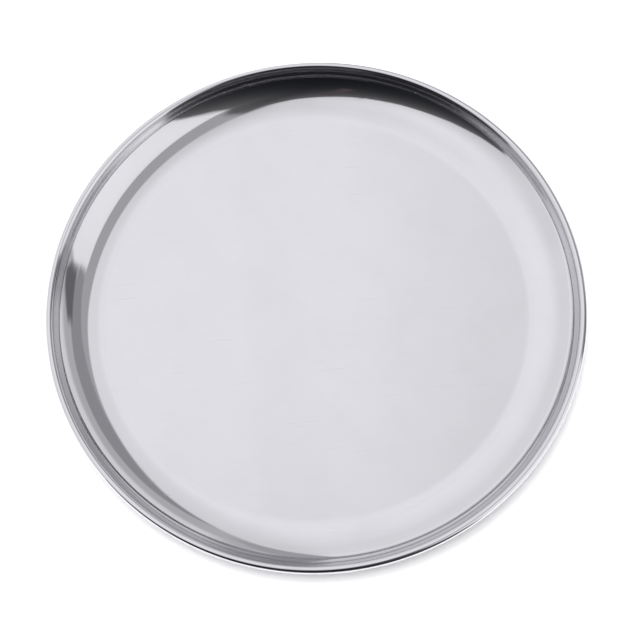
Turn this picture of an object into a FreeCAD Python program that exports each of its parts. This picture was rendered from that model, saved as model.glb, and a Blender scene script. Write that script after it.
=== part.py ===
import FreeCAD, Part
import math
import os

# Round stainless steel serving tray: one pressed sheet with a curved wall and a
# rolled rim, and the round wire that the rim is rolled around.
# Millimetres. +Z is up, the origin is the centre of the underside of the floor.

# ---- driving dimensions -------------------------------------------------
overall_diameter = 355.0
overall_height = 19.6
sheet = 0.7                    # thickness of the steel sheet
floor_diameter = 277.0         # flat part of the floor

cove_radius = 60.0             # shallow start of the wall, around the floor
cove_turn = 17.0               # degrees
sweep_radius = 29.2            # tighter sweep that follows it
sweep_slope = 48.0             # degrees above the floor where the sweep ends
step_radius = 1.0              # sweep to step, at the middle of the sheet
step_slope = 72.0              # degrees, a small steep step round the wall
shoulder_radius = 0.8          # step to upper wall, at the middle of the sheet
upper_slope = 56.0             # degrees, from the step to the rolled rim
neck_radius = 0.6              # upper wall to rolled rim, at the middle of the sheet
roll_radius = 2.65             # outside of the rolled rim
roll_turn = 315.0              # degrees of curl, the last stretch stays open

wire_clearance = 0.05          # between the wire and the inside of the roll
wire_joint_gap = 1.0           # where the two ends of the wire meet

# ---- derived places -----------------------------------------------------
roll_centre_r = overall_diameter / 2 - roll_radius
roll_centre_z = overall_height - roll_radius
roll_middle_radius = roll_radius - sheet / 2
wire_radius = roll_radius - sheet - wire_clearance

AXIS = FreeCAD.Vector(0, 0, 1)
ORIGIN = FreeCAD.Vector(0, 0, 0)


def point(r, z):
    return FreeCAD.Vector(r, 0, z)


class SheetPath:
    """Middle line of a bent sheet in the R-Z plane, as straight runs and bends."""

    def __init__(self, r, z):
        self.r = r
        self.z = z
        self.heading = 0.0
        self.left_edges = []       # the face that the tray shows from above
        self.right_edges = []      # the face below

    def beside(self, offset):
        """Point at the path's end, offset to the left of the way it heads."""
        side = math.radians(self.heading + 90)
        return point(self.r + offset * math.cos(side), self.z + offset * math.sin(side))

    def run(self, length):
        starts = self.beside(sheet / 2), self.beside(-sheet / 2)
        way = math.radians(self.heading)
        self.r += length * math.cos(way)
        self.z += length * math.sin(way)
        ends = self.beside(sheet / 2), self.beside(-sheet / 2)
        self.left_edges.append(Part.LineSegment(starts[0], ends[0]).toShape())
        self.right_edges.append(Part.LineSegment(starts[1], ends[1]).toShape())

    def bend(self, radius, turn):
        """Arc at the middle of the sheet; a positive turn goes left, upwards."""
        side = 1 if turn > 0 else -1
        centre = self.beside(side * radius)
        start_heading = self.heading
        stations = []
        for share in (0.0, 0.5, 1.0):
            self.heading = start_heading + share * turn
            out = math.radians(self.heading - side * 90)
            self.r = centre.x + radius * math.cos(out)
            self.z = centre.z + radius * math.sin(out)
            stations.append((self.beside(sheet / 2), self.beside(-sheet / 2)))
        left, right = zip(*stations)
        self.left_edges.append(Part.Arc(*left).toShape())
        self.right_edges.append(Part.Arc(*right).toShape())

    def section(self):
        """Closed face of the sheet's section, from the axis to the sheet's edge."""
        first_left = self.left_edges[0].Vertexes[0].Point
        first_right = self.right_edges[0].Vertexes[0].Point
        start_cap = Part.LineSegment(first_right, first_left).toShape()
        end_cap = Part.LineSegment(self.beside(sheet / 2), self.beside(-sheet / 2)).toShape()
        outline = [start_cap] + self.left_edges + [end_cap] + self.right_edges[::-1]
        return Part.Face(Part.Wire(outline))


def bend_advance(radius, start_heading, turn):
    """How far a bend carries the path in R and Z."""
    side = 1 if turn > 0 else -1
    first = math.radians(start_heading - side * 90)
    last = math.radians(start_heading + turn - side * 90)
    return (radius * (math.cos(last) - math.cos(first)),
            radius * (math.sin(last) - math.sin(first)))


def step_and_upper_lengths(step_foot_r, step_foot_z):
    """Lengths that bring the neck to the inner side of the roll, at its mid height."""
    shoulder = bend_advance(shoulder_radius, step_slope, upper_slope - step_slope)
    neck = bend_advance(neck_radius, upper_slope, 90 - upper_slope)
    across = roll_centre_r - roll_middle_radius - step_foot_r - shoulder[0] - neck[0]
    up = roll_centre_z - step_foot_z - shoulder[1] - neck[1]
    step, upper = math.radians(step_slope), math.radians(upper_slope)
    determinant = math.cos(step) * math.sin(upper) - math.sin(step) * math.cos(upper)
    step_length = (across * math.sin(upper) - up * math.cos(upper)) / determinant
    upper_length = (math.cos(step) * up - math.sin(step) * across) / determinant
    return step_length, upper_length


def tray_pan():
    """The pressed sheet: floor, curved wall with a small step in it, and rolled rim."""
    path = SheetPath(0.0, sheet / 2)
    path.run(floor_diameter / 2)
    path.bend(cove_radius, cove_turn)
    path.bend(sweep_radius, sweep_slope - cove_turn)
    path.bend(step_radius, step_slope - sweep_slope)
    step_length, upper_length = step_and_upper_lengths(path.r, path.z)
    path.run(step_length)
    path.bend(shoulder_radius, upper_slope - step_slope)
    path.run(upper_length)
    path.bend(neck_radius, 90 - upper_slope)
    path.bend(roll_middle_radius, -roll_turn)
    return path.section().revolve(ORIGIN, AXIS, 360)


def rim_wire():
    """Round wire inside the roll, bent to a ring whose two ends almost meet."""
    circle = Part.Circle(point(roll_centre_r, roll_centre_z), FreeCAD.Vector(0, 1, 0), wire_radius)
    disc = Part.Face(Part.Wire(circle.toShape()))
    gap_angle = math.degrees(wire_joint_gap / roll_centre_r)
    return disc.revolve(ORIGIN, AXIS, 360 - gap_angle)


parts = {
    "tray_pan": tray_pan(),
    "rim_wire": rim_wire(),
}

os.makedirs("parts", exist_ok=True)
for name, shape in parts.items():
    solid = shape if shape.ShapeType == "Solid" else shape.Solids[0]
    box = solid.BoundBox
    print(name, solid.ShapeType, solid.isValid(), round(solid.Volume, 1), "mm3",
          [round(v, 2) for v in (box.XMin, box.XMax, box.ZMin, box.ZMax)])
    solid.exportStep("parts/" + name + ".step")
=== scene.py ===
import math

import bpy
import numpy as np
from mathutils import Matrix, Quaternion, Vector

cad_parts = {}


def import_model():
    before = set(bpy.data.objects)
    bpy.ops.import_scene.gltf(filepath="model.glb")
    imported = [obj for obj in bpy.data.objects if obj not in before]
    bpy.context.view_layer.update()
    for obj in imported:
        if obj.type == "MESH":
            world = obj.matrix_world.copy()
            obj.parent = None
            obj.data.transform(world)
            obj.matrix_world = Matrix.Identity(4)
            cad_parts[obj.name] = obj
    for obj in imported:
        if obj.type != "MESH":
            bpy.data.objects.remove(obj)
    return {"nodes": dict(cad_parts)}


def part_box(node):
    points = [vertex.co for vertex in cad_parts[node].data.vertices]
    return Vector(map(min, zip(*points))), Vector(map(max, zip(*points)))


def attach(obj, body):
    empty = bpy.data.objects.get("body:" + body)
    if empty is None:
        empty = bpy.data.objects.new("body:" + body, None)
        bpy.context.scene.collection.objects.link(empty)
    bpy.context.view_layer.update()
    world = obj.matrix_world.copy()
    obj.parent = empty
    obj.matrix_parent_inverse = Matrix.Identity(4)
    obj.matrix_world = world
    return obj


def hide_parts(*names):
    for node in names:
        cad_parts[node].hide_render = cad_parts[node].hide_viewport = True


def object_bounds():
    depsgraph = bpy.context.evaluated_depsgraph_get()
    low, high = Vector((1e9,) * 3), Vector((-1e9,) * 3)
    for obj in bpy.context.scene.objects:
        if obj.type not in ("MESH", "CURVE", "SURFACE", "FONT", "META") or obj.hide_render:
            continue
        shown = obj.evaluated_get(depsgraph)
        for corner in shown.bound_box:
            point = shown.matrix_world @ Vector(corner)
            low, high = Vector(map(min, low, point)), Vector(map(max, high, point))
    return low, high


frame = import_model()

# Round serving tray of polished stainless steel, on a pale floor in a tent of soft cards.
# Lengths are in metres, slopes and turns in degrees. +Z is up and +Y is the back.

MM = 0.001

cad_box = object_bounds()
tray_low, tray_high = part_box("tray_pan")
diameter = tray_high.x - tray_low.x
height = tray_high.z

# ---- the pressed sheet, the same section as the CAD's -------------------
SHEET = 0.7 * MM
FLOOR_RADIUS = 138.5 * MM
COVE_RADIUS, COVE_TURN = 60.0 * MM, 17.0
SWEEP_RADIUS, SWEEP_SLOPE = 29.2 * MM, 48.0
STEP_RADIUS, STEP_SLOPE = 1.0 * MM, 72.0
SHOULDER_RADIUS = 0.8 * MM
UPPER_SLOPE = 56.0
NECK_RADIUS = 0.6 * MM
ROLL_RADIUS, ROLL_TURN = 2.65 * MM, 315.0

ROLL_CENTRE_R = diameter / 2 - ROLL_RADIUS
ROLL_CENTRE_Z = height - ROLL_RADIUS
ROLL_MIDDLE = ROLL_RADIUS - SHEET / 2

SPOKES = 384                    # divisions round the tray


class SheetPath:
    """Middle line of the sheet from the axis outwards, kept as stations."""

    def __init__(self, r, z):
        self.r, self.z, self.heading = r, z, 0.0
        self.stations = []

    def mark(self):
        self.stations.append((self.r, self.z, self.heading))

    def run(self, length, steps):
        way = math.radians(self.heading)
        r, z = self.r, self.z
        for i in range(1, steps + 1):
            self.r = r + length * i / steps * math.cos(way)
            self.z = z + length * i / steps * math.sin(way)
            self.mark()

    def bend(self, radius, turn, steps):
        """Arc at the middle of the sheet; a positive turn goes left, upwards."""
        side = 1 if turn > 0 else -1
        out = math.radians(self.heading + side * 90)
        centre_r = self.r + radius * math.cos(out)
        centre_z = self.z + radius * math.sin(out)
        start = self.heading
        for i in range(1, steps + 1):
            self.heading = start + turn * i / steps
            out = math.radians(self.heading - side * 90)
            self.r = centre_r + radius * math.cos(out)
            self.z = centre_z + radius * math.sin(out)
            self.mark()


def bend_advance(radius, start, turn):
    """How far a bend carries the path outwards and up."""
    side = 1 if turn > 0 else -1
    first = math.radians(start - side * 90)
    last = math.radians(start + turn - side * 90)
    return (radius * (math.cos(last) - math.cos(first)),
            radius * (math.sin(last) - math.sin(first)))


def step_and_upper_lengths(step_foot_r, step_foot_z):
    """Lengths that bring the neck to the inner side of the roll, at its mid height."""
    shoulder = bend_advance(SHOULDER_RADIUS, STEP_SLOPE, UPPER_SLOPE - STEP_SLOPE)
    neck = bend_advance(NECK_RADIUS, UPPER_SLOPE, 90 - UPPER_SLOPE)
    across = ROLL_CENTRE_R - ROLL_MIDDLE - step_foot_r - shoulder[0] - neck[0]
    up = ROLL_CENTRE_Z - step_foot_z - shoulder[1] - neck[1]
    step, upper = math.radians(STEP_SLOPE), math.radians(UPPER_SLOPE)
    determinant = math.cos(step) * math.sin(upper) - math.sin(step) * math.cos(upper)
    return ((across * math.sin(upper) - up * math.cos(upper)) / determinant,
            (math.cos(step) * up - math.sin(step) * across) / determinant)


def sheet_stations():
    """Stations along the middle of the sheet, from near the axis to the curled edge."""
    path = SheetPath(0.0, SHEET / 2)
    path.run(FLOOR_RADIUS, steps=6)
    path.bend(COVE_RADIUS, COVE_TURN, steps=12)
    path.bend(SWEEP_RADIUS, SWEEP_SLOPE - COVE_TURN, steps=20)
    path.bend(STEP_RADIUS, STEP_SLOPE - SWEEP_SLOPE, steps=6)
    step_length, upper_length = step_and_upper_lengths(path.r, path.z)
    path.run(step_length, steps=2)
    path.bend(SHOULDER_RADIUS, UPPER_SLOPE - STEP_SLOPE, steps=5)
    path.run(upper_length, steps=4)
    path.bend(NECK_RADIUS, 90 - UPPER_SLOPE, steps=8)
    path.bend(ROLL_MIDDLE, -ROLL_TURN, steps=56)
    return path.stations


def tray_section():
    """The shown and the hidden face, as (r, z, angle of the normal) from the axis out."""
    shown, hidden = [], []
    for r, z, heading in sheet_stations():
        side = math.radians(heading + 90)
        across, up = SHEET / 2 * math.cos(side), SHEET / 2 * math.sin(side)
        shown.append((r + across, z + up, side))
        hidden.append((r - across, z - up, side + math.pi))
    return shown, hidden


def turned(side, spoke):
    """Normal at a spoke, for a normal at an angle in the section."""
    a = 2 * math.pi * spoke / SPOKES
    return math.cos(side) * math.cos(a), math.cos(side) * math.sin(a), math.sin(side)


def tray_mesh():
    """The whole sheet turned round the axis, with the exact normal at every corner."""
    shown, hidden = tray_section()
    outline = shown + hidden[::-1]
    points, normals, faces, corners = [], [], [], []
    for r, z, side in outline:
        for k in range(SPOKES):
            a = 2 * math.pi * k / SPOKES
            points.append((r * math.cos(a), r * math.sin(a), z))
            normals.append(turned(side, k))

    def face(*ids, edge=None):
        faces.append(ids)
        corners.extend(normals[i] if edge is None else turned(edge, i % SPOKES) for i in ids)

    sheet_edge = len(shown) - 1     # the ring of faces across the sheet's cut edge
    for ring in range(len(outline) - 1):
        a, b = ring * SPOKES, (ring + 1) * SPOKES
        edge = outline[ring][2] - math.pi / 2 if ring == sheet_edge else None
        for k in range(SPOKES):
            n = (k + 1) % SPOKES
            face(a + k, b + k, b + n, a + n, edge=edge)
    last = (len(outline) - 1) * SPOKES
    top, bottom = len(points), len(points) + 1
    points += [(0, 0, SHEET), (0, 0, 0)]
    normals += [(0, 0, 1), (0, 0, -1)]
    for k in range(SPOKES):
        n = (k + 1) % SPOKES
        face(top, k, n)
        face(bottom, last + n, last + k)
    mesh = bpy.data.meshes.new("tray")
    mesh.from_pydata(points, [], faces)
    mesh.polygons.foreach_set("use_smooth", [True] * len(mesh.polygons))
    mesh.update()
    mesh.normals_split_custom_set(corners)
    return mesh


# ---- materials ----------------------------------------------------------
class Nodes:
    """Short names for building a node tree."""

    def __init__(self, name):
        self.material = bpy.data.materials.new(name)
        self.material.use_nodes = True
        self.tree = self.material.node_tree
        self.tree.nodes.clear()

    def feed(self, socket, value):
        if isinstance(value, bpy.types.NodeSocket):
            self.tree.links.new(value, socket)
        else:
            socket.default_value = value

    def add(self, kind, inputs=(), **facts):
        node = self.tree.nodes.new(kind)
        for key, value in facts.items():
            setattr(node, key, value)
        for socket, value in dict(inputs).items():
            self.feed(node.inputs[socket], value)
        return node

    def math(self, operation, a, b=0.0):
        return self.add("ShaderNodeMath", {0: a, 1: b}, operation=operation).outputs[0]

    def times(self, a, b):
        return self.math("MULTIPLY", a, b)

    def total(self, *terms):
        result = terms[0]
        for term in terms[1:]:
            result = self.math("ADD", result, term)
        return result

    def object_place(self):
        return self.add("ShaderNodeTexCoord").outputs["Object"]

    def noise(self, vector, scale, detail=2.0, rough=0.5):
        inputs = {"Vector": vector, "Scale": scale, "Detail": detail, "Roughness": rough}
        return self.add("ShaderNodeTexNoise", inputs).outputs["Fac"]

    def span(self, value, low, high, to_low=0.0, to_high=1.0):
        inputs = {"Value": value, "From Min": low, "From Max": high,
                  "To Min": to_low, "To Max": to_high}
        return self.add("ShaderNodeMapRange", inputs, clamp=True).outputs["Result"]

    def mapping(self, vector, turn, scale, shift):
        inputs = {"Vector": vector, "Rotation": (0, 0, math.radians(turn)), "Scale": scale,
                  "Location": shift}
        return self.add("ShaderNodeMapping", inputs).outputs["Vector"]

    def bump(self, relief, depth, normal=None):
        inputs = {"Height": relief, "Distance": depth, "Strength": 1.0}
        if normal is not None:
            inputs["Normal"] = normal
        return self.add("ShaderNodeBump", inputs).outputs["Normal"]

    def mix_colour(self, share, a, b):
        node = self.add("ShaderNodeMix", data_type="RGBA")
        for socket, value in ((0, share), (6, a), (7, b)):
            self.feed(node.inputs[socket], value)
        return node.outputs[2]

    def finish(self, kind, inputs):
        shader = self.add(kind, inputs)
        self.add("ShaderNodeOutputMaterial", {"Surface": shader.outputs[0]})
        return self.material

    def metal(self, colour, roughness, normal):
        return self.finish("ShaderNodeBsdfPrincipled",
                           {"Base Color": colour, "Metallic": 1.0, "Roughness": roughness,
                            "Normal": normal})


def axis_distance(n, place):
    """Distance from the axis of the tray."""
    parts = n.add("ShaderNodeSeparateXYZ", {"Vector": place}).outputs
    return n.math("SQRT", n.total(n.times(parts[0], parts[0]), n.times(parts[1], parts[1])))


def round_the_axis(n, place, radius, along, across):
    """Coordinates that stretch a noise into fine lines round the axis."""
    parts = n.add("ShaderNodeSeparateXYZ", {"Vector": place}).outputs
    around = n.math("ARCTAN2", parts[1], parts[0])
    stretched = {0: n.times(around, along), 1: n.times(radius, across),
                 2: n.times(parts[2], across)}
    return n.add("ShaderNodeCombineXYZ", stretched).outputs[0]


def scratches(n, place, turn, shift, share):
    """Long thin marks along one direction, in patches, 0 to 1. A higher share has fewer."""
    across, along, patch = 900.0, 18.0, 22.0
    streaks = n.noise(n.mapping(place, turn, (along, across, along), shift), 1.0)
    patches = n.noise(n.mapping(place, turn, (patch, patch, patch), shift), 1.0, 1.0)
    return n.times(n.span(streaks, share, share + 0.04), n.span(patches, 0.50, 0.62))


def all_scratches(n, place):
    return n.math("MAXIMUM", scratches(n, place, 12, (3.1, 0.4, 0), 0.66),
                  n.math("MAXIMUM", scratches(n, place, -38, (7.7, 2.4, 0), 0.67),
                         scratches(n, place, 81, (1.9, 8.3, 0), 0.66)))


def underside(n, radius):
    """1 on the faces that look down, short of the roll: the mask for the painted shade under the
    tray and for extra roughness.
    """
    facing = n.add("ShaderNodeSeparateXYZ",
                   {"Vector": n.add("ShaderNodeTexCoord").outputs["Normal"]}).outputs[2]
    inside = n.math("LESS_THAN", radius, ROLL_CENTRE_R - ROLL_RADIUS)
    return n.times(n.span(facing, -0.02, -0.25), inside)


def wall_dullness(n, radius):
    """Added roughness on the step and the upper wall, strongest in two rings."""
    outer_ring, ring_spacing = 171.7 * MM, 2.0 * MM
    wall = n.times(n.span(radius, 168.6 * MM, 169.4 * MM), n.span(radius, 172.3 * MM, 171.9 * MM))
    phase = n.times(n.math("SUBTRACT", radius, outer_ring), 2 * math.pi / ring_spacing)
    rings = n.span(n.math("COSINE", phase), 0.0, 0.95)
    return n.times(wall, n.span(rings, 0.0, 1.0, 0.055, 0.17))


def polished_steel():
    """Mirror polish with handling smudges, fine scratches and spinning lines, and painted shade
    on the faces that look down.
    """
    n = Nodes("polished_steel")
    place = n.object_place()
    radius = axis_distance(n, place)
    waves = n.noise(place, 14.0, 1.0)
    smudges = n.noise(place, 26.0, 4.0, 0.6)
    specks = n.span(n.noise(place, 900.0, 1.0), 0.72, 0.76)
    spun_lines = n.noise(round_the_axis(n, place, radius, 4.0, 2600.0), 1.0, 3.0, 0.6)
    marks = all_scratches(n, place)
    below = underside(n, radius)

    roughness = n.total(n.span(smudges, 0.35, 0.75, 0.030, 0.062), wall_dullness(n, radius),
                        n.times(marks, 0.10), n.times(specks, 0.05), n.times(below, 0.20))

    bright, dull = (0.622, 0.619, 0.639, 1), (0.603, 0.601, 0.620, 1)
    scratched, underside_shade = (0.50, 0.50, 0.515, 1), (0.52, 0.52, 0.53, 1)
    colour = n.mix_colour(n.span(smudges, 0.42, 0.72), bright, dull)
    colour = n.mix_colour(n.times(marks, 0.18), colour, scratched)
    # Painted shade: the faces that look down get a darker colour, as if in shadow under the tray;
    # they are also rougher.
    colour = n.mix_colour(n.times(below, 0.6), colour, underside_shade)

    normal = n.bump(waves, 0.03 * MM)
    normal = n.bump(spun_lines, 0.0012 * MM, normal)
    normal = n.bump(n.times(marks, -1.0), 0.0018 * MM, normal)
    return n.metal(colour, roughness, normal)


def wire_steel():
    """Drawn wire: fine lines along its length, a little dull."""
    n = Nodes("wire_steel")
    place = n.object_place()
    radius = axis_distance(n, place)
    drawn = n.noise(round_the_axis(n, place, radius, 6.0, 4000.0), 1.0, 3.0, 0.6)
    patches = n.span(n.noise(place, 60.0, 3.0), 0.35, 0.7)
    colour = n.mix_colour(patches, (0.50, 0.50, 0.505, 1), (0.38, 0.375, 0.37, 1))
    return n.metal(colour, n.span(drawn, 0.3, 0.7, 0.22, 0.36), n.bump(drawn, 0.006 * MM))


# ---- pieces -------------------------------------------------------------
def add_object(name, mesh, material):
    thing = bpy.data.objects.new(name, mesh)
    mesh.materials.append(material)
    bpy.context.scene.collection.objects.link(thing)
    return thing


tray = add_object("tray", tray_mesh(), polished_steel())
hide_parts("tray_pan")
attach(tray, "root")

wire = frame["nodes"]["rim_wire"]
wire.data.materials.clear()
wire.data.materials.append(wire_steel())


# ---- studio -------------------------------------------------------------
# The tray mirrors a tent of cards. Places on the tent are degrees off straight up as the
# tray sees them, x to the right and y to the back.
TENT_RADIUS = 12.0
CEILING = (1.243, 1.237, 1.270)     # radiance straight up, in red, green and blue

# Each card has an outline, a radiance, the width of its soft edge in degrees, and how much
# lighter it is just inside the edge. A later card lies over an earlier one.
CARDS = {
    "outer_panel": (
        [(16, 45), (12, 63), (6, 75), (-1, 92), (60, 92), (98, 40), (98, -3), (78, -3),
         (66, 2), (45, 6), (27, 12), (17, 28)],
        (0.62, 0.62, 0.64), 2.0, 0.0),
    "low_glow": (
        [(24, 72), (48, 56), (64, 36), (77, 17), (98, 17), (98, 70), (30, 98)],
        (0.97, 0.97, 0.98), 11.0, 0.0),
    "inner_panel": (
        [(17, 28), (15, 50), (28, 48), (39, 40), (48, 28), (53, 15), (45, 6), (27, 12)],
        (0.385, 0.385, 0.405), 3.0, 0.0),
    "dark_gap": (
        [(47, 19), (60, 20), (76, 11), (82, 4), (70, 2), (50, 7)],
        (0.19, 0.19, 0.20), 4.0, 0.0),
    "side_gap": (
        [(12, 63), (6, 75), (-1, 92), (10, 92), (17, 76), (17, 60)],
        (0.50, 0.50, 0.52), 2.0, 0.0),
    "band": (
        [(5, -3), (12, 9), (16.5, 18), (17.5, 29), (29, 13), (25, 0), (18, -15), (13, -24)],
        (0.53, 0.53, 0.55), 1.6, 0.0),
    "softbox": (
        [(13.5, -23), (17, -15), (24, 0), (27.6, 11), (45, 6.6), (66, 2.4), (78, -3),
         (98, -8), (98, -70), (57, -64), (42, -50.5), (30, -40.5)],
        (1.235, 1.235, 1.255), 1.5, -0.12),
    "front_flag": (
        [(0, -11), (-9, -17.5), (-21, -22.5), (-39, -26.5), (-54, -27), (-69, -23.5),
         (-86, -33), (-120, -60), (-60, -120), (60, -120), (57, -66), (42, -52), (30, -42),
         (20, -33), (13, -24), (11, -15), (8, -8), (5, -2.5)],
        (0.0120, 0.0130, 0.0172), 1.8, 0.17),
    "warm_streak": (
        [(-4, -19), (-6, -19), (-15, -38), (-12, -38)],
        (0.110, 0.088, 0.090), 3.5, 0.0),
}
GLOW_REACH = 9.0                    # degrees inside a card's edge
FLAG_SHADE_REACH = 11.0             # degrees outside the front flag's edge
FRONT_WINDOW = 0.25                 # radiance of the gap low in the front flag


def edge_distance(x, y, outline):
    """Degrees to an outline, negative inside it."""
    nearest = np.full(x.shape, 1e9)
    inside = np.zeros(x.shape, bool)
    for (x0, y0), (x1, y1) in zip(outline, outline[1:] + outline[:1]):
        dx, dy = x1 - x0, y1 - y0
        t = np.clip(((x - x0) * dx + (y - y0) * dy) / (dx * dx + dy * dy), 0, 1)
        nearest = np.minimum(nearest, np.hypot(x - x0 - t * dx, y - y0 - t * dy))
        crosses = (y0 > y) != (y1 > y)
        inside ^= crosses & (x < x0 + (y - y0) * dx / (dy if dy else 1e-9))
    return np.where(inside, -nearest, nearest)


def ramp(value, zero_at, one_at):
    """Smooth step from 0 to 1 between two values, either way up."""
    t = np.clip((value - zero_at) / (one_at - zero_at), 0, 1)
    return t * t * (3 - 2 * t)


def ceiling_shade(x, y):
    """How bright the plain ceiling is at places, as a share of CEILING."""
    off = np.hypot(x, y)
    low = 1 - 0.16 * ramp(off, 18, 58) + 0.11 * ramp(off, 76, 81) - 0.35 * ramp(off, 80, 90)
    near_front = 1 - 0.035 * ramp(y, 18, 8) * ramp(y, -6, 4)
    outside_flag = np.maximum(edge_distance(x, y, CARDS["front_flag"][0]), 0)
    flag_shade = 1 - (np.exp(-outside_flag / FLAG_SHADE_REACH)
                      * (0.20 + 0.10 * ramp(x, -16, -6)))
    right = 1 - 0.10 * ramp(x, 0, 8)
    return low * near_front * flag_shade * right * ceiling_seam(x, off)


def ceiling_seam(x, off):
    """A seam of the ceiling's cloth: a thin bright line with a slightly dark band beside it."""
    line = 0.012 * np.exp(-((x + 2.85) / 0.22) ** 2)
    band = 0.018 * ramp(x, -2.7, -2.4) * ramp(x, 0.2, -1.0)
    return 1 + (line - band) * (off < 40)


def tent_radiance(x, y):
    """Radiance of the tent at places: the ceiling, the cards over it, and the front window."""
    light = np.ones(x.shape + (3,)) * CEILING * ceiling_shade(x, y)[:, None]
    for outline, radiance, soft_edge, glow in CARDS.values():
        distance = edge_distance(x, y, outline)
        inner = glow * np.exp(-np.maximum(-distance, 0) / GLOW_REACH)
        cover = ramp(distance, soft_edge / 2, -soft_edge / 2)[:, None]
        light = light * (1 - cover) + (np.array(radiance) + inner[:, None]) * cover
    off = np.hypot(x, y)
    window = ramp(off, 69.8, 72.3) * ramp(off, 79, 76) * ramp(y, 0, -20) * ramp(abs(x), 38, 24)
    return np.maximum(light, FRONT_WINDOW * window[:, None])


def tent():
    """The cards as one dome of light, which the camera itself doesn't see."""
    rings, spokes = 90, 360
    off, around = np.meshgrid(np.arange(rings + 1.0), np.arange(spokes) * 360.0 / spokes,
                              indexing="ij")
    off, around = off.ravel(), np.radians(around.ravel())
    x, y = off * np.cos(around), off * np.sin(around)
    e = np.radians(off)
    points = TENT_RADIUS * np.stack(
        [np.sin(e) * np.cos(around), np.sin(e) * np.sin(around), np.cos(e)], 1)
    faces = []
    for i in range(1, rings):
        a, b = i * spokes, (i + 1) * spokes
        faces += [(a + k, a + (k + 1) % spokes, b + (k + 1) % spokes, b + k)
                  for k in range(spokes)]
    faces += [(0, spokes + (k + 1) % spokes, spokes + k) for k in range(spokes)]
    mesh = bpy.data.meshes.new("tent")
    mesh.from_pydata(points.tolist(), [], faces)
    light = np.ones((len(points), 4))
    light[:, :3] = tent_radiance(x, y)
    colours = mesh.attributes.new("radiance", "FLOAT_COLOR", "POINT")
    colours.data.foreach_set("color", light.ravel())
    n = Nodes("tent_light")
    colour = n.add("ShaderNodeAttribute", attribute_name="radiance").outputs["Color"]
    thing = add_object("tent", mesh,
                       n.finish("ShaderNodeEmission", {"Color": colour, "Strength": 1.0}))
    thing.visible_camera = False


def floor():
    """Wide plain floor under the tray."""
    size = 30.0
    mesh = bpy.data.meshes.new("floor")
    mesh.from_pydata([(-size, -size, 0), (size, -size, 0), (size, size, 0), (-size, size, 0)],
                     [], [(0, 1, 2, 3)])
    white = Nodes("floor_white").finish(
        "ShaderNodeBsdfPrincipled", {"Base Color": (0.93, 0.93, 0.935, 1), "Roughness": 0.9})
    thing = add_object("floor", mesh, white)
    thing.location.z = cad_box[0].z


def key_light():
    """Wide soft light for the floor; the steel doesn't show it."""
    light = bpy.data.lights.new("key", "AREA")
    light.shape, light.size, light.energy = "DISK", 3.0, 75.0
    thing = bpy.data.objects.new("key", light)
    thing.location = (-0.3, 0.2, 2.2)
    thing.visible_glossy = False
    thing.visible_camera = False
    bpy.context.scene.collection.objects.link(thing)


def world():
    """Plain white all round, as bright as the floor."""
    studio = bpy.data.worlds.new("studio")
    bpy.context.scene.world = studio
    studio.use_nodes = True
    background = studio.node_tree.nodes["Background"]
    background.inputs["Color"].default_value = (1, 1, 1, 1)
    background.inputs["Strength"].default_value = 1.0


CAMERA_AIM = Vector((2.1, -10.4, 17.0)) * MM
CAMERA_DISTANCE = 1.1276
CAMERA_ELEVATION, CAMERA_AZIMUTH, CAMERA_ROLL = 70.81, -0.33, -5.33
CAMERA_LENS, CAMERA_SENSOR = 97.12, 36.0     # millimetres, as Blender wants them


def camera():
    """The camera of the product picture, high in front of the tray."""
    data = bpy.data.cameras.new("camera")
    data.sensor_width = CAMERA_SENSOR
    data.lens = CAMERA_LENS
    thing = bpy.data.objects.new("camera", data)
    bpy.context.scene.collection.objects.link(thing)
    elevation, azimuth = math.radians(CAMERA_ELEVATION), math.radians(CAMERA_AZIMUTH)
    back = Vector((math.sin(azimuth) * math.cos(elevation),
                   -math.cos(azimuth) * math.cos(elevation),
                   math.sin(elevation)))
    roll = Quaternion((0, 0, 1), math.radians(CAMERA_ROLL))
    thing.location = CAMERA_AIM + back * CAMERA_DISTANCE
    thing.rotation_mode = "QUATERNION"
    thing.rotation_quaternion = back.to_track_quat("Z", "Y") @ roll
    bpy.context.scene.camera = thing


tent()
floor()
key_light()
world()
camera()
bpy.context.scene.view_settings.view_transform = "Standard"
